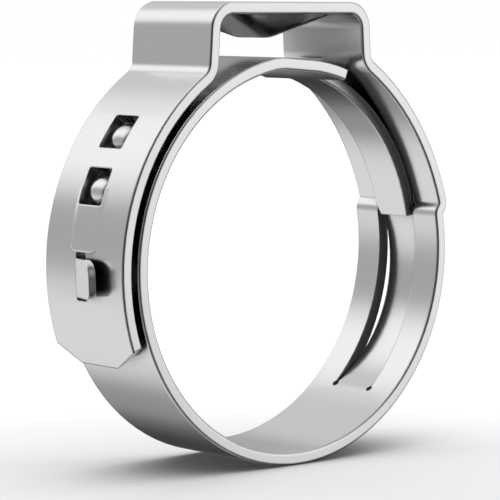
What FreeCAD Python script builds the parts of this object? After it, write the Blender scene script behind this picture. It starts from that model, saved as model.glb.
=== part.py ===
import FreeCAD, Part
import math
import os

# Stepless ear hose clamp: one strip of stainless steel wrapped into a ring, open as delivered.
# The ring axis is Z and the ring lies on its strip edge, so the lower edge is on Z = 0.
# The ear points along +Y. Travel along the strip is clockwise seen from above, from the outer
# free end up the left side, over the ear, down the right side, once round and under itself.
# All lengths are millimetres and all angles are degrees, counter-clockwise from +X.

# Strip
strip_width = 5.0
strip_thickness = 0.5
edge_bevel = 0.07

# Ring
bore_diameter = 15.7
layer_gap = 0.3
outer_end_angle = 204.7

# Ear
ear_rise = 2.65
ear_inside_width = 7.48
ear_offset = -0.42
leg_splay = 3.5
ear_corner_radius = 0.62
ear_foot_radius = 0.55

# Dimple pressed into the top of the ear
dimple_length = 5.6
dimple_rim = 0.3
dimple_ridge = 2.2
dimple_depth = 1.05
dimple_round = 0.9

# Right side, from the foot of the ear down to the joggle
flank_foot_angle = 60.0
flank_extra_radius = 2.2
flank_open = 0.3
joggle_top_angle = 13.5
joggle_foot_angle = 11.2
joggle_round = 0.3

# Inner end of the strip under the ear, and its tongue
settle_angle = 97.0
settle_round = 3.0
dip_angle = 83.0
dip = 0.15
tail_ease = 0.18
shoulder_angle = 71.5
tongue_width = 1.9
tongue_tip_angle = 10.3
tongue_dip = 0.215
tongue_clearance = 0.03
tongue_taper_length = 0.6
tongue_taper_width = 0.3
tongue_root_round = 0.3
root_inset = 0.02

# Channel pressed outwards between two slits, where the tongue slides
channel_width = 2.1
channel_clearance = 0.12
channel_peak_angle = -14.0
channel_half_angle = 34.0
channel_blend = 3.0
channel_overlap = 3.0
slit_width = 0.08
slit_top_angle = 16.5
slit_foot_angle = -48.0
slit_relief = 0.13

# Windows of the outer layer and the pressed buttons of the inner layer that sit in them
window_angles = (143.75, 158.95)
window_length = 1.56
window_width = 1.44
window_corner = 0.1
button_radius = 0.68
button_wall = 0.34
button_seat_gap = 0.06
button_base = 0.14
button_flare = 0.1

# Low land pressed outwards in the outer layer, from the last window to the slot
land_width = 1.3
land_height = 0.05
land_side = 0.25
land_corner = 0.45

# Slot of the outer layer and the hook tab of the inner layer that passes through it
slot_angle = 181.6
slot_length = 1.92
slot_width = 0.63
slot_offset = -0.16
slot_corner = 0.06
tab_length = 1.53
tab_thickness = 0.3
tab_reach = 1.25
tab_lean = 75.0
tab_root_radius = 0.3
tab_bend_radius = 0.17
tab_lift = 0.03
tab_slot_gap = 0.08
tab_upper_corner = 0.62
tab_lower_corner = 0.35
lance_length = 1.5
lance_clearance = 0.06

# Chamfered corners of the outer free end
end_chamfer_length = 0.82
end_chamfer_width = 1.35

# How far a cutting shape passes the surfaces that it cuts, and the tolerance for finding edges
cut_margin = 1.0
edge_tolerance = 1e-3

# Derived
bore_r = bore_diameter / 2
half_t = strip_thickness / 2
mid_z = strip_width / 2
ring_r = bore_r + half_t
ring_outer_r = bore_r + strip_thickness
outer_layer_inner_r = ring_outer_r + layer_gap
outer_layer_r = outer_layer_inner_r + half_t
outer_layer_outer_r = outer_layer_inner_r + strip_thickness
ear_top = bore_r + ear_rise
joggle_r = ring_r - tongue_dip + strip_thickness + tongue_clearance
cut_inside_r = bore_r - cut_margin
layer_cut_low = outer_layer_inner_r - layer_gap / 2
layer_cut_high = outer_layer_outer_r + cut_margin
tongue_low = mid_z - tongue_width / 2
tab_stem_z = mid_z + slot_offset + slot_width / 2 - tab_slot_gap - tab_thickness / 2


def vec(x, y, z=0.0):
    return FreeCAD.Vector(x, y, z)


def polar(radius, angle, z=0.0):
    turn = math.radians(angle)
    return vec(radius * math.cos(turn), radius * math.sin(turn), z)


def left_of(direction):
    return vec(-direction.y, direction.x)


class Line:
    """A straight carrier through a point, travelled along a unit direction."""

    def __init__(self, point, direction):
        self.point = point
        self.direction = direction.normalize()

    def shifted(self, distance):
        return Line(self.point + left_of(self.direction) * distance, vec(*self.direction))

    def foot(self, point):
        return self.point + self.direction * (point - self.point).dot(self.direction)


class Circle:
    """A round carrier travelled clockwise."""

    def __init__(self, centre, radius):
        self.centre = centre
        self.radius = radius

    def shifted(self, distance):
        return Circle(self.centre, self.radius + distance)

    def foot(self, point):
        return self.centre + (point - self.centre).normalize() * self.radius


def circle_through(first, last, radius):
    """The circle of a given radius that runs clockwise from one point to the other."""
    chord = last - first
    reach = math.sqrt(radius ** 2 - (chord.Length / 2) ** 2)
    middle = (first + last) * 0.5
    return Circle(middle - left_of(chord.normalize()) * reach, radius)


def crossings(first, second):
    """Points where two carriers meet, as a list of up to two."""
    if isinstance(first, Line) and isinstance(second, Line):
        across = left_of(second.direction)
        step = (second.point - first.point).dot(across) / first.direction.dot(across)
        return [first.point + first.direction * step]
    if isinstance(first, Circle) and isinstance(second, Circle):
        gap = second.centre - first.centre
        span = gap.Length
        along = (first.radius ** 2 - second.radius ** 2 + span ** 2) / (2 * span)
        base = first.centre + gap * (along / span)
        rise = math.sqrt(first.radius ** 2 - along ** 2)
        side = left_of(gap * (1 / span)) * rise
        return [base + side, base - side]
    line, circle = (first, second) if isinstance(first, Line) else (second, first)
    base = line.foot(circle.centre)
    half = math.sqrt(circle.radius ** 2 - (base - circle.centre).Length ** 2)
    return [base + line.direction * half, base - line.direction * half]


def blend_centre(first, second, signed_radius, near):
    """Centre of the round between two carriers, to the left for a positive radius."""
    found = crossings(first.shifted(signed_radius), second.shifted(signed_radius))
    return min(found, key=lambda point: (point - near).Length)


class Path:
    """A smooth run of straight and round pieces that a strip follows."""

    def __init__(self, start, direction):
        self.point = start
        self.direction = direction.normalize()
        self.pieces = []

    def line_to(self, end):
        self.pieces.append(("line", self.point, end, None, 0))
        self.direction = (end - self.point).normalize()
        self.point = end

    def arc_to(self, end):
        """Add the arc that leaves along the present direction and ends at the point."""
        chord = end - self.point
        normal = left_of(self.direction)
        signed_radius = chord.Length ** 2 / (2 * chord.dot(normal))
        centre = self.point + normal * signed_radius
        self.round_to(centre, end, 1 if signed_radius > 0 else -1)

    def round_to(self, centre, end, turn):
        """Add an arc about a centre, turning left for 1 and right for -1."""
        self.pieces.append(("arc", self.point, end, centre, turn))
        self.direction = left_of((end - centre).normalize()) * turn
        self.point = end

    def follow(self, carriers, rounds, hints):
        """Run along carriers, with a signed round between each one and the next."""
        for first, second, signed_radius, hint in zip(carriers, carriers[1:], rounds, hints):
            centre = blend_centre(first, second, signed_radius, hint)
            self.along(first, first.foot(centre))
            self.round_to(centre, second.foot(centre), 1 if signed_radius > 0 else -1)

    def along(self, carrier, end):
        if isinstance(carrier, Line):
            self.line_to(end)
        else:
            self.round_to(carrier.centre, end, -1)


def shifted_point(piece, point, distance):
    """A point of a piece, moved to the left of travel by a distance."""
    kind, start, end, centre, turn = piece
    if kind == "line":
        return point + left_of((end - start).normalize()) * distance
    spoke = point - centre
    return centre + spoke * ((spoke.Length - turn * distance) / spoke.Length)


def arc_middle(centre, start, end, turn):
    first = math.atan2(start.y - centre.y, start.x - centre.x)
    last = math.atan2(end.y - centre.y, end.x - centre.x)
    sweep = (last - first) * turn % (2 * math.pi)
    middle = first + turn * sweep / 2
    radius = (start - centre).Length
    return centre + vec(radius * math.cos(middle), radius * math.sin(middle))


def shifted_edge(piece, distance):
    kind, start, end, centre, turn = piece
    first = shifted_point(piece, start, distance)
    last = shifted_point(piece, end, distance)
    if kind == "line":
        return Part.LineSegment(first, last).toShape()
    return Part.Arc(first, arc_middle(centre, first, last, turn), last).toShape()


def face_of(edges):
    return Part.Face(Part.Wire(Part.__sortEdges__(edges)))


def thick_face(path, thickness):
    """The flat outline of a strip of one thickness whose middle follows the path."""
    pieces = path.pieces
    left = [shifted_edge(piece, thickness / 2) for piece in pieces]
    right = [shifted_edge(piece, -thickness / 2) for piece in pieces]
    starts = [shifted_point(pieces[0], pieces[0][1], side * thickness / 2) for side in (1, -1)]
    ends = [shifted_point(pieces[-1], pieces[-1][2], side * thickness / 2) for side in (1, -1)]
    caps = [Part.LineSegment(*starts).toShape(), Part.LineSegment(*ends).toShape()]
    return face_of(left + right + caps)


def slab(face, low, high):
    """A flat face in Z = 0 raised between two heights."""
    solid = face.extrude(vec(0, 0, high - low))
    solid.translate(vec(0, 0, low))
    return solid


def sector(inner, outer, first_angle, last_angle, low, high):
    """A wedge of a tube between two angles and two heights."""
    middle = (first_angle + last_angle) / 2
    edges = []
    for radius in (inner, outer):
        arc = Part.Arc(polar(radius, first_angle), polar(radius, middle), polar(radius, last_angle))
        edges.append(arc.toShape())
    for angle in (first_angle, last_angle):
        edges.append(Part.LineSegment(polar(inner, angle), polar(outer, angle)).toShape())
    return slab(face_of(edges), low, high)


def place_radially(shape, angle):
    """Turn a shape drawn at angle 0, with X outwards, to an angle of the ring."""
    shape.rotate(vec(0, 0), vec(0, 0, 1), angle)
    return shape


def is_crosswise(edge):
    """True for a straight level edge across the strip's thickness."""
    straight = edge.Curve.TypeId == "Part::GeomLine"
    return straight and abs(edge.Length - strip_thickness) < edge_tolerance


def bevelled_rims(body):
    """Bevel every edge that lies level, which is the long edges of the strip."""
    level = [edge for edge in body.Edges if edge.BoundBox.ZLength < edge_tolerance]
    return body.makeChamfer(edge_bevel, [edge for edge in level if not is_crosswise(edge)])


def rounded_block(inner, outer, length, low, high, corner, rounded_low=True):
    """A radial block at angle 0 with rounded corners seen along the radius."""
    block = Part.makeBox(outer - inner, length, high - low, vec(inner, -length / 2, low))
    edges = [edge for edge in block.Edges if edge.BoundBox.XLength > (outer - inner) / 2]
    if not rounded_low:
        edges = [edge for edge in edges if edge.CenterOfMass.z > (low + high) / 2]
    return block.makeFillet(corner, edges)


def corner_wedge(outer, length, width, edge_z, side, heading):
    """A radial prism at angle 0 that bevels one corner of a strip's end lying on the X axis.

    The strip's edge is at edge_z with its outside towards side, and the end faces heading in Y.
    """
    back = vec(0, -2 * heading * length, edge_z + side * width)
    front = vec(0, heading * length, edge_z - 2 * side * width)
    outside = vec(0, front.y, back.z)
    face = Part.Face(Part.makePolygon([back, front, outside, back]))
    wedge = face.extrude(vec(outer - cut_inside_r, 0, 0))
    wedge.translate(vec(cut_inside_r, 0, 0))
    return wedge


def ear_carriers():
    """The middle lines of the ear: left leg, top and right leg."""
    splay = math.radians(leg_splay)
    half = ear_inside_width / 2 + half_t / math.cos(splay)
    under = ear_top - strip_thickness
    left_leg = Line(vec(ear_offset - half, under), vec(math.sin(splay), math.cos(splay)))
    top = Line(vec(ear_offset, ear_top - half_t), vec(1, 0))
    right_leg = Line(vec(ear_offset + half, under), vec(math.sin(splay), -math.cos(splay)))
    return left_leg, top, right_leg


def flank_circle():
    """The middle line of the right side, flatter than the ring and open towards the ear."""
    high = polar(joggle_r + flank_open, flank_foot_angle)
    low = polar(joggle_r, joggle_top_angle)
    return circle_through(high, low, ring_r + flank_extra_radius)


def outer_run():
    """The strip's middle from the outer free end over the ear to the top of the joggle."""
    left_circle = Circle(vec(0, 0), outer_layer_r)
    left_leg, top, right_leg = ear_carriers()
    flank = flank_circle()
    foot = ear_foot_radius + half_t
    corner = ear_corner_radius + half_t
    path = Path(polar(outer_layer_r, outer_end_angle), left_of(polar(-1, outer_end_angle)))
    carriers = [left_circle, left_leg, top, right_leg, flank]
    left_hint = vec(left_leg.point.x, ring_outer_r)
    right_hint = vec(right_leg.point.x, ring_outer_r)
    hints = [left_hint, left_leg.point, right_leg.point, right_hint]
    path.follow(carriers, [foot, -corner, -corner, foot], hints)
    return path, flank


def tail_circle():
    """The round of the inner end from its dip to the tip of the tongue, inside the ring."""
    high = polar(ring_r - dip, dip_angle)
    low = polar(ring_r - tongue_dip, tongue_tip_angle)
    return circle_through(high, low, ring_r - tail_ease)


def strip_path():
    """The middle of the strip at full width, outer free end to the shoulder of the tongue."""
    path, flank = outer_run()
    ring = Circle(vec(0, 0), ring_r)
    joggle_top = polar(joggle_r, joggle_top_angle)
    joggle_foot = polar(ring_r, joggle_foot_angle)
    joggle = Line(joggle_top, joggle_foot - joggle_top)
    settle = polar(ring_r, settle_angle)
    tail = tail_circle()
    flat = Line(settle, polar(ring_r - dip, dip_angle) - settle)
    carriers = [flank, joggle, ring, flat, tail]
    rounds = [-joggle_round, joggle_round, -settle_round, -settle_round]
    hints = [joggle_top, joggle_foot, settle, polar(ring_r - dip, dip_angle)]
    path.follow(carriers, rounds, hints)
    path.along(tail, tail.foot(polar(ring_r, shoulder_angle)))
    return path


def tongue_path(strip):
    tail = tail_circle()
    path = Path(strip.point, vec(*strip.direction))
    path.along(tail, tail.foot(polar(ring_r, tongue_tip_angle)))
    return path


def tongue(strip):
    """The narrow end of the strip, tapered on one side towards its tip."""
    body = slab(thick_face(tongue_path(strip), strip_thickness), tongue_low, tongue_low + tongue_width)
    body = bevelled_rims(body)
    taper = corner_wedge(ring_outer_r, tongue_taper_length, tongue_taper_width, tongue_low, -1, -1)
    return body.cut(place_radially(taper, tongue_tip_angle))


def root_gussets(strip):
    """Concave rounds in the corners between the shoulder and the sides of the tongue."""
    size = tongue_root_round
    angle = math.degrees(math.atan2(strip.point.y, strip.point.x))
    low = strip.point.Length - half_t + root_inset
    depth = strip_thickness - 2 * root_inset
    gussets = []
    for side in (-1, 1):
        edge_z = mid_z + side * tongue_width / 2
        base_z = edge_z if side > 0 else edge_z - size
        block = Part.makeBox(depth, size + root_inset, size, vec(low, -size, base_z))
        axis_start = vec(low - cut_margin, -size, edge_z + side * size)
        hollow = Part.makeCylinder(size, depth + 2 * cut_margin, axis_start, vec(1, 0, 0))
        gussets.append(place_radially(block.cut(hollow), angle))
    return gussets


def channel_circle():
    """The bulge that carries the channel floor out past the strip's thickness."""
    peak = ring_r + strip_thickness + channel_clearance
    spread = math.cos(math.radians(channel_half_angle))
    reach = (peak ** 2 - ring_r ** 2) / (2 * (peak - ring_r * spread))
    return Circle(polar(reach, channel_peak_angle), peak - reach)


def channel_path():
    """The middle of the channel floor, from the right side out and back to the ring."""
    flank = flank_circle()
    bulge = channel_circle()
    ring = Circle(vec(0, 0), ring_r)
    start = flank.foot(polar(ring_r, slit_top_angle + channel_overlap))
    path = Path(start, left_of(start - flank.centre) * -1)
    joint = min(crossings(flank, bulge), key=lambda point: abs(point.y))
    return_joint = min(crossings(bulge, ring), key=lambda point: point.y)
    path.follow([flank, bulge, ring], [channel_blend, channel_blend], [joint, return_joint])
    foot_angle = math.degrees(math.atan2(path.point.y, path.point.x))
    path.round_to(ring.centre, polar(ring_r, foot_angle - channel_overlap), -1)
    return path, foot_angle


def pressed_channel(body):
    """Replace the strip's middle by a floor pressed outwards, freed by two slits."""
    low = mid_z - channel_width / 2
    high = mid_z + channel_width / 2
    path, foot_angle = channel_path()
    outside = channel_circle().centre.Length + channel_circle().radius + strip_thickness
    opening = sector(cut_inside_r, outside, foot_angle, slit_top_angle, low, high)
    body = body.cut(opening).fuse(slab(thick_face(path, strip_thickness), low, high))
    for edge_z in (low, high):
        bottom = edge_z - slit_width / 2
        slit_top = bottom + slit_width
        slit = sector(cut_inside_r, outside, slit_foot_angle, slit_top_angle, bottom, slit_top)
        reach = outside - cut_inside_r
        relief = Part.makeCylinder(slit_relief, reach, vec(cut_inside_r, 0, edge_z), vec(1, 0, 0))
        body = body.cut([slit, place_radially(relief, slit_foot_angle)])
    return body


def windows():
    low = mid_z - window_width / 2
    high = low + window_width
    size = (layer_cut_low, layer_cut_high, window_length, low, high, window_corner)
    return [place_radially(rounded_block(*size), angle) for angle in window_angles]


def button(radius, base, foot, flare):
    """A round-topped button on the X axis, from a flat foot up to a base and a half ball."""
    diagonal = vec(math.sqrt(0.5), math.sqrt(0.5))
    top = vec(base + radius, 0)
    shoulder = vec(base, radius)
    edges = [Part.Arc(shoulder, vec(base, 0) + diagonal * radius, top).toShape()]
    toe = shoulder
    if flare:
        toe = vec(base - flare, radius + flare)
        hollow = vec(base, radius + flare) - diagonal * flare
        edges.append(Part.Arc(toe, hollow, shoulder).toShape())
    for first, last in ((top, vec(foot, 0)), (vec(foot, 0), vec(foot, toe.y)), (vec(foot, toe.y), toe)):
        edges.append(Part.LineSegment(first, last).toShape())
    return face_of(edges).revolve(vec(0, 0), vec(1, 0, 0), 360)


def buttons():
    """Pressed buttons that bear on the end of each window nearest the free end, and their hollows."""
    base = ring_outer_r + button_base
    reach = math.sqrt(button_radius ** 2 - (outer_layer_inner_r - base) ** 2)
    shift = window_length / 2 - reach - button_seat_gap
    domes = []
    hollows = []
    for angle in window_angles:
        dome = button(button_radius, base, ring_r, button_flare)
        hollow = button(button_radius - button_wall, base, cut_inside_r, 0)
        for shape in (dome, hollow):
            shape.translate(vec(0, shift, mid_z))
        domes.append(place_radially(dome, angle))
        hollows.append(place_radially(hollow, angle))
    return domes, hollows


def land():
    """A raised run with sloped sides, from the foot of the last window to the slot."""
    bottom = layer_cut_low + layer_gap
    top = outer_layer_outer_r + land_height
    spread = land_side * (top - bottom) / land_height
    low = mid_z - land_width / 2
    high = low + land_width
    corners = [
        vec(bottom, 0, low - spread), vec(top, 0, low), vec(top, 0, high),
        vec(bottom, 0, high + spread)]
    section = Part.Face(Part.makePolygon(corners + corners[:1]))
    span = slot_angle - window_angles[-1]
    run = place_radially(section.revolve(vec(0, 0), vec(0, 0, 1), span), window_angles[-1])
    half_turn = math.degrees(slot_length / 2 / outer_layer_outer_r)
    length = 2 * outer_layer_outer_r * math.sin(math.radians(span - half_turn))
    outline = rounded_block(
        bottom, top + cut_margin, length, low - land_side, high + land_side, land_corner)
    return run.common(place_radially(outline, window_angles[-1]))


def slot():
    low = mid_z + slot_offset - slot_width / 2
    high = low + slot_width
    block = rounded_block(layer_cut_low, layer_cut_high, slot_length, low, high, slot_corner)
    return place_radially(block, slot_angle)


def hook_tab():
    """A tab lanced out of the inner layer, up through the slot and bent over its edge."""
    path = Path(vec(tab_stem_z - tab_root_radius - strip_thickness, ring_r), vec(1, 0))
    path.line_to(vec(tab_stem_z - tab_root_radius, ring_r))
    path.arc_to(vec(tab_stem_z, ring_r + tab_root_radius))
    path.line_to(vec(tab_stem_z, outer_layer_outer_r + tab_lift))
    lean = math.radians(tab_lean)
    centre = path.point + vec(tab_bend_radius, 0)
    bent = centre + vec(-math.cos(lean), math.sin(lean)) * tab_bend_radius
    path.round_to(centre, bent, -1)
    path.line_to(path.point + path.direction * tab_reach)
    body = slab(thick_face(path, tab_thickness), -tab_length / 2, tab_length / 2)
    corners = [edge for edge in body.Edges if is_tab_corner(edge, path.point)]
    corners.sort(key=lambda edge: edge.CenterOfMass.z)
    for radius, corner in zip((tab_upper_corner, tab_lower_corner), corners):
        body = body.makeFillet(radius, [nearest_edge(body, corner.CenterOfMass)])
    body.rotate(vec(0, 0), vec(1, 1, 1), -120)
    return place_radially(body, slot_angle)


def is_tab_corner(edge, tip):
    """True for an edge across the tab's thickness at its free end."""
    centre = edge.CenterOfMass
    at_tip = math.hypot(centre.x - tip.x, centre.y - tip.y) < edge_tolerance
    return at_tip and edge.Length < tab_thickness + edge_tolerance


def nearest_edge(body, point):
    """The edge of a body whose middle is nearest to a point."""
    return min(body.Edges, key=lambda edge: (edge.CenterOfMass - point).Length)


def lance_hole():
    """The opening that the hook tab leaves in the inner layer."""
    low = tab_stem_z - tab_root_radius
    high = low + lance_length
    length = tab_length + 2 * lance_clearance
    outer = ring_outer_r + layer_gap / 2
    block = rounded_block(
        cut_inside_r, outer, length, low, high, tab_upper_corner, rounded_low=False)
    return place_radially(block, slot_angle)


def end_chamfers():
    """Wedges that take the corners off the outer free end."""
    length = end_chamfer_length
    width = end_chamfer_width
    wedges = []
    for side, edge_z in ((-1, 0), (1, strip_width)):
        wedge = corner_wedge(layer_cut_high, length, width, edge_z, side, 1)
        gap = sector(cut_inside_r - cut_margin, layer_cut_low, -90, 90, -strip_width, 2 * strip_width)
        wedges.append(place_radially(wedge.cut(gap), outer_end_angle))
    return wedges


def hipped_trough(rim_y, radius):
    """A V-shaped trough with sloped ends, its ridge across the strip, hanging from a level rim."""
    half = dimple_length / 2
    back = mid_z - dimple_ridge / 2
    front = mid_z + dimple_ridge / 2
    rim_front = strip_width - dimple_rim
    trough = Part.makeWedge(-half, 0, dimple_rim, back, 0, half, dimple_depth, rim_front, front, 0)
    trough.rotate(vec(0, 0), vec(0, 0, 1), 180)
    trough.translate(vec(ear_offset, rim_y))
    creases = [edge for edge in trough.Edges if edge.BoundBox.YMin < rim_y - dimple_depth / 2]
    return trough.makeFillet(radius, creases)


def dimpled(body):
    """Press the trough into the top of the ear, with its swelling on the underside."""
    under = ear_top - strip_thickness
    body = body.fuse(hipped_trough(under, dimple_round + half_t))
    return body.cut(hipped_trough(ear_top, dimple_round))


def build():
    strip = strip_path()
    body = bevelled_rims(slab(thick_face(strip, strip_thickness), 0, strip_width))
    body = pressed_channel(body)
    body = body.fuse([tongue(strip)] + root_gussets(strip))
    domes, hollows = buttons()
    body = body.fuse(land())
    body = body.cut(windows() + [slot(), lance_hole()] + end_chamfers())
    body = body.fuse(domes + [hook_tab()]).cut(hollows)
    return dimpled(body).removeSplitter()


os.makedirs("parts", exist_ok=True)
clamp = build()
print("valid", clamp.isValid(), "solids", len(clamp.Solids), "volume", round(clamp.Volume, 3))
clamp.exportStep("parts/clamp_band.step")
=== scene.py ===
# %% [markdown]
# An ear hose clamp is a single strip of stainless steel, wrapped into a ring and folded up into
# an ear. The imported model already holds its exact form, so this scene loads it and never moves
# it. What is left to do is the finish of the steel, the light and the camera.

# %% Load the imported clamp
import math

import bpy
from mathutils import Matrix, Vector


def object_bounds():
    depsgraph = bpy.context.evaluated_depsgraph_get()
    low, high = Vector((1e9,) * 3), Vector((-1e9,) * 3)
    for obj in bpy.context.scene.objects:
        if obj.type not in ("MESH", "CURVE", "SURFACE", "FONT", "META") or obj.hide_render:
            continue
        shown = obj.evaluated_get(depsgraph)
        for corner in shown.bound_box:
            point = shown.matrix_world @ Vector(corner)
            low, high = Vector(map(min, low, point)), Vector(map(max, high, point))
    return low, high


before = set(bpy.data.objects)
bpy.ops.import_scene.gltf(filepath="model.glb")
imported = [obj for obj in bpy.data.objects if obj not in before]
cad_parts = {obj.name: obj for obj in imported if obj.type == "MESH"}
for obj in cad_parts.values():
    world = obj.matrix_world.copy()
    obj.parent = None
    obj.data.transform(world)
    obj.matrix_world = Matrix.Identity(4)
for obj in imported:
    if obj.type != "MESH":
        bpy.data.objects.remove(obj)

MM = 0.001
cad_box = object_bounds()
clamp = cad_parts["clamp_band"]
scene = bpy.context.scene
print("clamp box in mm", [round(x / MM, 2) for corner in cad_box for x in corner])

# %% [markdown]
# A material is a net of nodes. It could be written as a long list of nodes and links, but shader
# maths reads best as ordinary expressions. The small class `Socket` below wraps one output of a
# node and overloads the operators, so that `1 - mask` or `height * 0.5` adds a Math node by
# itself. One method, `node`, makes every other kind of node from its type, its settings and its
# inputs.


# %% A small wrapper for shader sockets
class Shader:
    """A node tree that is being written."""

    def __init__(self, tree):
        self.tree = tree
        tree.nodes.clear()

    def node(self, kind, settings=None, inputs=None, output=0):
        made = self.tree.nodes.new(kind)
        for name, value in (settings or {}).items():
            setattr(made, name, value)
        for key, value in (inputs or {}).items():
            if isinstance(value, Socket):
                self.tree.links.new(value.socket, made.inputs[key])
            else:
                made.inputs[key].default_value = value
        return Socket(self, made.outputs[output]) if made.outputs else made


class Socket:
    """One output of a node, which can be used in an expression."""

    def __init__(self, shader, socket):
        self.shader = shader
        self.socket = socket

    def math(self, operation, *others):
        inputs = {0: self}
        for number, other in enumerate(others, start=1):
            inputs[number] = other
        return self.shader.node("ShaderNodeMath", {"operation": operation}, inputs)

    def reflected(self, operation, first):
        return self.shader.node("ShaderNodeMath", {"operation": operation}, {0: first, 1: self})

    def __add__(self, other):
        return self.math("ADD", other)

    def __sub__(self, other):
        return self.math("SUBTRACT", other)

    def __mul__(self, other):
        return self.math("MULTIPLY", other)

    def __radd__(self, other):
        return self.reflected("ADD", other)

    def __rsub__(self, other):
        return self.reflected("SUBTRACT", other)

    def __rmul__(self, other):
        return self.reflected("MULTIPLY", other)

    def step(self, low, high):
        """0 below low, 1 above high and a smooth rise between them."""
        ranges = {"From Min": low, "From Max": high}
        return self.shader.node(
            "ShaderNodeMapRange", {"interpolation_type": "SMOOTHSTEP"}, {"Value": self, **ranges})


print("wrappers made:", Shader.__name__, "and", Socket.__name__)

# %% [markdown]
# Cold-rolled stainless strip has a satin skin. The rolls leave a very fine grain that runs along
# the strip, so across its width the reflections break up a little, and along its length they
# stay clear. The sheared edges of the strip face up and down, along Z, and have a dull speckle
# instead. Scratches could be cut into a mesh, but they are far finer than any face of it. A noise
# texture that is squeezed along Z, the width of the strip, gives the same grain on the ring and
# on the ear alike, and a finer noise that is the same all round takes its place on the edges.

# %% Grain and speckle
STRIP_WIDTH = 5.0 * MM
GRAIN_LENGTH = 1.2 * MM
GRAIN_WIDTH = 0.03 * MM
SPECKLE = 0.06 * MM
NOISE_DETAIL = 2.0
EDGE_FACING = (0.75, 0.95)


def noise(tree, place, scale):
    return tree.node(
        "ShaderNodeTexNoise", None, {"Vector": place, "Scale": scale, "Detail": NOISE_DETAIL})


def sheared_edge(tree):
    """1 where the surface faces along Z, and 0 on the broad faces of the strip."""
    facing = tree.node("ShaderNodeTexCoord", output="Normal")
    height = tree.node("ShaderNodeSeparateXYZ", None, {0: facing}, output="Z")
    return height.math("ABSOLUTE").step(*EDGE_FACING)


def grain_or_speckle(tree, place, edge):
    scale = (1 / GRAIN_LENGTH, 1 / GRAIN_LENGTH, 1 / GRAIN_WIDTH)
    squeezed = tree.node("ShaderNodeMapping", None, {"Vector": place, "Scale": scale})
    grain = noise(tree, squeezed, 1.0)
    speckle = noise(tree, place, 1 / SPECKLE)
    return grain * (1 - edge) + speckle * edge


print("grain lines across the strip, about", round(STRIP_WIDTH / GRAIN_WIDTH))

# %% [markdown]
# Where two faces meet, the strip is worn a little round. The imported mesh stays as it is, and the
# wear is finer than its faces, so it isn't modelled: a Bevel node bends the light there as such
# an edge does, and the grain's bump goes on top of it. Between the layers and in the windows the
# steel's colour is painted darker, as painted shade for the shade that falls there. An Ambient
# Occlusion node finds those places by itself, because it measures how closed in each place is.

# %% Worn edges and painted shade in crevices
WORN_EDGE = 0.09 * MM
WORN_EDGE_SAMPLES = 8
GRAIN_HEIGHT = 0.00012 * MM
STEEL_COLOUR = (0.87, 0.87, 0.875, 1)
# Painted shade: the colour the steel is darkened to where it is closed in.
CREVICE_SHADE_COLOUR = (0.4, 0.4, 0.405, 1)
CREVICE_SHADE_REACH = 2.6 * MM
CREVICE_SHADE_LIMITS = (0.35, 0.85)
CREVICE_SHADE_SAMPLES = 16


def worn_normal(tree, texture):
    rounded = tree.node("ShaderNodeBevel", {"samples": WORN_EDGE_SAMPLES}, {"Radius": WORN_EDGE})
    return tree.node("ShaderNodeBump", None, {
        "Height": texture, "Strength": 1.0, "Distance": GRAIN_HEIGHT, "Normal": rounded})


def openness(tree, reach, samples, only_local):
    """1 in the open, and less where other faces stand within reach."""
    settings = {"only_local": only_local, "samples": samples}
    return tree.node("ShaderNodeAmbientOcclusion", settings, {"Distance": reach}, output="AO")


def mix_colours(tree, factor, first, second):
    """The first colour where the factor is 0, and the second where it is 1."""
    return tree.node(
        "ShaderNodeMix", {"data_type": "RGBA"}, {0: factor, 6: first, 7: second}, output=2)


# Painted shade: the steel's colour turns darker where other faces close it in, in place of the
# shade that falls there.
def painted_crevice_shade(tree):
    unshaded = openness(tree, CREVICE_SHADE_REACH, CREVICE_SHADE_SAMPLES, only_local=True).step(*CREVICE_SHADE_LIMITS)
    return mix_colours(tree, unshaded, CREVICE_SHADE_COLOUR, STEEL_COLOUR)


print("edges worn round over mm", round(WORN_EDGE / MM, 2))

# %% [markdown]
# The steel itself is a plain metal: one Principled shader with Metallic at 1, so all that is seen
# of it is reflections. How sharp they are is its roughness. That could be one number, but rolled
# strip is never so even, so it varies a little with the grain and with soft patches, and the
# sheared edges are rougher than the skin.

# %% Satin stainless steel
SKIN_ROUGHNESS = 0.2
EDGE_ROUGHNESS = 0.3
ROUGHNESS_SPREAD = 0.05
PATCH_SIZE = 3 * MM
GRAIN_SHARE = 0.7
PATCH_SHARE = 0.6
NOISE_MIDDLE = 0.5


def satin_steel():
    material = bpy.data.materials.new("satin_stainless")
    material.use_nodes = True
    tree = Shader(material.node_tree)
    place = tree.node("ShaderNodeTexCoord", output="Object")
    edge = sheared_edge(tree)
    texture = grain_or_speckle(tree, place, edge)
    patches = noise(tree, place, 1 / PATCH_SIZE)
    spread = (texture - NOISE_MIDDLE) * GRAIN_SHARE + (patches - NOISE_MIDDLE) * PATCH_SHARE
    dullness = edge * (EDGE_ROUGHNESS - SKIN_ROUGHNESS) + SKIN_ROUGHNESS
    steel = tree.node("ShaderNodeBsdfPrincipled", None, {
        # The base colour carries the painted shade in crevices.
        "Base Color": painted_crevice_shade(tree),
        "Metallic": 1.0,
        "Roughness": spread * ROUGHNESS_SPREAD + dullness,
        "Normal": worn_normal(tree, texture)})
    tree.node("ShaderNodeOutputMaterial", None, {"Surface": steel})
    return material


for slot in clamp.material_slots:
    slot.material = satin_steel()
print("triangles in the clamp", len(clamp.data.polygons))

# %% [markdown]
# The camera stands where the photographer's did: a little to the left, almost level with the
# ring's axis, and a long way off with a long lens. The clamp lies on its edge here, so seen from
# the floor this camera looks down on it. It could be aimed at the ring's middle, but the ring is
# not in the middle of the picture, so it is shifted sideways and upwards in its own plane.

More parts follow.
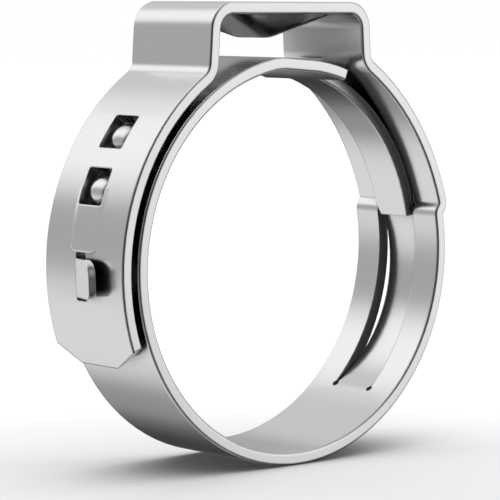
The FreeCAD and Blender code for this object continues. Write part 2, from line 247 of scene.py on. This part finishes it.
# %% Camera
RING_RADIUS = 7.85 * MM
CAMERA_TURN = math.radians(40.75)
CAMERA_RISE = math.radians(5.26)
CAMERA_ROLL = math.radians(0.18)
CAMERA_DISTANCE = 14.03 * RING_RADIUS
CAMERA_SIDEWAYS = -0.2586 * RING_RADIUS
CAMERA_UPWARDS = 0.0589 * RING_RADIUS
LENS = 195.3
SENSOR = 36.0
NEAREST_SEEN = 1 * MM
PHOTO_UP = Vector((0, 1, 0))


def add_camera():
    back = Vector((
        -math.sin(CAMERA_TURN) * math.cos(CAMERA_RISE), math.sin(CAMERA_RISE),
        math.cos(CAMERA_TURN) * math.cos(CAMERA_RISE)))
    right = (-back).cross(PHOTO_UP).normalized()
    up = right.cross(-back)
    turned_right = right * math.cos(CAMERA_ROLL) + up * math.sin(CAMERA_ROLL)
    turned_up = up * math.cos(CAMERA_ROLL) - right * math.sin(CAMERA_ROLL)
    place = Vector((0, 0, STRIP_WIDTH)) + back * CAMERA_DISTANCE
    place += turned_right * CAMERA_SIDEWAYS + turned_up * CAMERA_UPWARDS
    data = bpy.data.cameras.new("camera")
    data.sensor_width = SENSOR
    data.lens = LENS
    data.clip_start = NEAREST_SEEN
    camera = bpy.data.objects.new("camera", data)
    turn = Matrix((turned_right, turned_up, back)).transposed()
    camera.matrix_world = Matrix.Translation(place) @ turn.to_4x4()
    scene.collection.objects.link(camera)
    scene.camera = camera
    return camera


camera = add_camera()
print("camera at mm", [round(x / MM, 1) for x in camera.matrix_world.translation])

# %% [markdown]
# The room round the clamp is white. Lamps could be set up one by one, but a small bright object
# on white paper is lit from all sides, and a white world does that with no hard shadow.

# %% White room
ROOM_COLOUR = (1, 1, 1, 1)
ROOM_LIGHT = 1.0


def white_room():
    world = bpy.data.worlds.new("white_room")
    scene.world = world
    world.use_nodes = True
    tree = Shader(world.node_tree)
    light = tree.node(
        "ShaderNodeBackground", None, {"Color": ROOM_COLOUR, "Strength": ROOM_LIGHT})
    tree.node("ShaderNodeOutputWorld", None, {"Surface": light})


white_room()
print("light of the white room", ROOM_LIGHT)

# %% [markdown]
# The photographer's ring stands on its round side, on a pale floor in front of a white wall. In
# the clamp's own frame that floor is an upright plane that touches the ring at its lowest point,
# where Y is smallest. It is matt, so it takes the soft shadow under the ring by itself, and its
# colour is darker close under the ring, which deepens that shadow where the two touch. A floor
# and a wall could meet in a curve, but the wall would stand in the way of other views. Behind the
# ring, and far from it on every side, this floor glows a little instead, so that it melts into
# the white room. It shows one face only, so it never hides the clamp from its other side.

# %% Paint of the floor
FLOOR_COLOUR = (0.93, 0.93, 0.93, 1)
SHADOW_COLOUR = (0.12, 0.12, 0.12, 1)
SHADOW_REACH = 7 * MM
SHADOW_LIMITS = (0.05, 0.85)
SHADOW_SAMPLES = 8
FLOOR_FADE = (-12 * MM, 20 * MM)
FLOOR_END = (40 * MM, 150 * MM)
NO_GLOW = (0, 0, 0, 1)
FLOOR_GLOW = (0.16, 0.16, 0.16, 1)


def floor_paint():
    material = bpy.data.materials.new("pale_floor")
    material.use_nodes = True
    tree = Shader(material.node_tree)
    place = tree.node("ShaderNodeTexCoord", output="Object")
    away = (math.sin(CAMERA_TURN), math.cos(CAMERA_TURN), 0)
    behind = tree.node(
        "ShaderNodeVectorMath", {"operation": "DOT_PRODUCT"}, {0: place, 1: away}, output="Value")
    distance = tree.node(
        "ShaderNodeVectorMath", {"operation": "LENGTH"}, {0: place}, output="Value")
    fade = behind.step(*FLOOR_FADE).math("MAXIMUM", distance.step(*FLOOR_END))
    lit = openness(tree, SHADOW_REACH, SHADOW_SAMPLES, only_local=False).step(*SHADOW_LIMITS)
    colour = mix_colours(tree, lit, SHADOW_COLOUR, FLOOR_COLOUR)
    glow_colour = mix_colours(tree, fade, NO_GLOW, FLOOR_GLOW)
    matt = tree.node("ShaderNodeBsdfDiffuse", None, {"Color": colour})
    glow = tree.node("ShaderNodeEmission", None, {"Color": glow_colour, "Strength": 1.0})
    seen = tree.node("ShaderNodeAddShader", None, {0: matt, 1: glow})
    gone = tree.node("ShaderNodeBsdfTransparent")
    underside = tree.node("ShaderNodeNewGeometry", output="Backfacing")
    sided = tree.node("ShaderNodeMixShader", None, {0: underside, 1: seen, 2: gone})
    tree.node("ShaderNodeOutputMaterial", None, {"Surface": sided})
    return material


paint = floor_paint()
print("nodes in the floor's paint", len(paint.node_tree.nodes))

# %% Lay the floor
FLOOR_SIZE = 1.2
FLOOR_GAP = 0.01 * MM


def lay_floor():
    lowest = cad_box[0][1] - FLOOR_GAP
    bpy.ops.object.select_all(action="DESELECT")
    bpy.ops.mesh.primitive_plane_add(
        size=FLOOR_SIZE, location=(0, lowest, 0), rotation=(-math.pi / 2, 0, 0))
    floor = bpy.context.object
    floor.name = "floor"
    floor.data.materials.append(paint)
    floor.visible_glossy = False
    return floor


floor = lay_floor()
print("floor touches the ring at y in mm", round(floor.location.y / MM, 2))

# %% [markdown]
# Polished metal shows its surroundings, and in an all-white room it would look like white paper.
# A photographer hangs grey and black cloths round it, which the camera doesn't see. They could be
# many planes, but each would need its own place and soft border. Here they are one ball of cloth
# that only reflections can see: it is clear where a lamp shines through and dark where a black
# cloth hangs. The soft borders come from the angle between a direction and the middle of a spot.

# %% Spots of light and shade
def towards(heading, height):
    """The direction at a heading, counter-clockwise round Z from +X, and a height, in degrees."""
    turn = math.radians(heading)
    rise = math.radians(height)
    level = math.cos(rise)
    return Vector((math.cos(turn) * level, math.sin(turn) * level, math.sin(rise)))


def spot(tree, direction, centre, inner, outer):
    """1 within an angle of a direction and 0 beyond a wider one, in degrees."""
    along = tree.node(
        "ShaderNodeVectorMath", {"operation": "DOT_PRODUCT"}, {0: direction, 1: centre},
        output="Value")
    return along.step(math.cos(math.radians(outer)), math.cos(math.radians(inner)))


print("heading 90 and height 0 is towards the ear", [round(x, 2) for x in towards(90, 0)])

# %% [markdown]
# Below, where the broad faces of the strip look, the light changes with the heading alone: four
# soft lamps and two dark cloths on an even grey. Above, where the sheared edges look, it is one
# bright window and black towards the camera. One small dark cloth hangs between the two. Seen
# from the camera, it is mostly the worn edge between a broad face and a sheared one that shows
# it, and it gives the strip its thin dark outline.

# %% Cloth with lamps behind it
BASE_LIGHT = 0.41
LAMPS = (
    # heading, degrees of full strength, degrees to nothing, strength (below 0 it is a dark cloth)
    (119, 5, 40, 0.59),
    (60, 10, 40, 0.22),
    (-137, 8, 42, 0.35),
    (-38, 8, 42, -0.37),
    (-82, 3, 24, -0.12),
    (-14, 3, 16, 0.12),
)
WINDOW_HEADING = 22
WINDOW_HEIGHT = 40
WINDOW_DEGREES = (8, 46)
WINDOW_LIGHT = 1.25
BLACK_CLOTH = 0.04
CLOTH_BORDER = (0.1, 0.6)
LINE_HEADING = -5
LINE_HEIGHT = -12
LINE_DEGREES = (10, 34)
LINE_SHADE = 0.85


def cloth():
    material = bpy.data.materials.new("studio_cloth")
    material.use_nodes = True
    tree = Shader(material.node_tree)
    place = tree.node("ShaderNodeTexCoord", output="Object")
    direction = tree.node("ShaderNodeVectorMath", {"operation": "NORMALIZE"}, {0: place})
    flattened = tree.node(
        "ShaderNodeVectorMath", {"operation": "MULTIPLY"}, {0: direction, 1: (1, 1, 0)})
    level = tree.node("ShaderNodeVectorMath", {"operation": "NORMALIZE"}, {0: flattened})
    height = tree.node("ShaderNodeSeparateXYZ", None, {0: direction}, output="Z")
    below = BASE_LIGHT
    for heading, inner, outer, strength in LAMPS:
        below = spot(tree, level, towards(heading, 0), inner, outer) * strength + below
    window = spot(tree, direction, towards(WINDOW_HEADING, WINDOW_HEIGHT), *WINDOW_DEGREES)
    above = window * (WINDOW_LIGHT - BLACK_CLOTH) + BLACK_CLOTH
    upper = height.step(*CLOTH_BORDER)
    line = spot(tree, direction, towards(LINE_HEADING, LINE_HEIGHT), *LINE_DEGREES)
    clear = (below * (1 - upper) + above * upper) * (1 - line * LINE_SHADE)
    black = tree.node("ShaderNodeEmission", None, {"Strength": 0.0})
    open_cloth = tree.node("ShaderNodeBsdfTransparent")
    hung = tree.node("ShaderNodeMixShader", None, {0: clear, 1: black, 2: open_cloth})
    tree.node("ShaderNodeOutputMaterial", None, {"Surface": hung})
    return material


studio_cloth = cloth()
print("nodes in the cloth", len(studio_cloth.node_tree.nodes))

# %% Hang the cloths
BALL_RADIUS = 0.6
BALL_SEGMENTS = 48
BALL_RINGS = 24


def hang_cloths():
    bpy.ops.object.select_all(action="DESELECT")
    bpy.ops.mesh.primitive_uv_sphere_add(
        segments=BALL_SEGMENTS, ring_count=BALL_RINGS, radius=BALL_RADIUS)
    ball = bpy.context.object
    ball.name = "cloths"
    ball.data.materials.append(studio_cloth)
    ball.visible_camera = False
    ball.visible_diffuse = False
    ball.visible_transmission = False
    ball.visible_shadow = False
    return ball


cloths = hang_cloths()
print("ball of cloths is metres across", round(cloths.dimensions.x, 2))

# %% [markdown]
# The Standard view shows each colour as it is written.

# %% Finish
scene.view_settings.view_transform = "Standard"
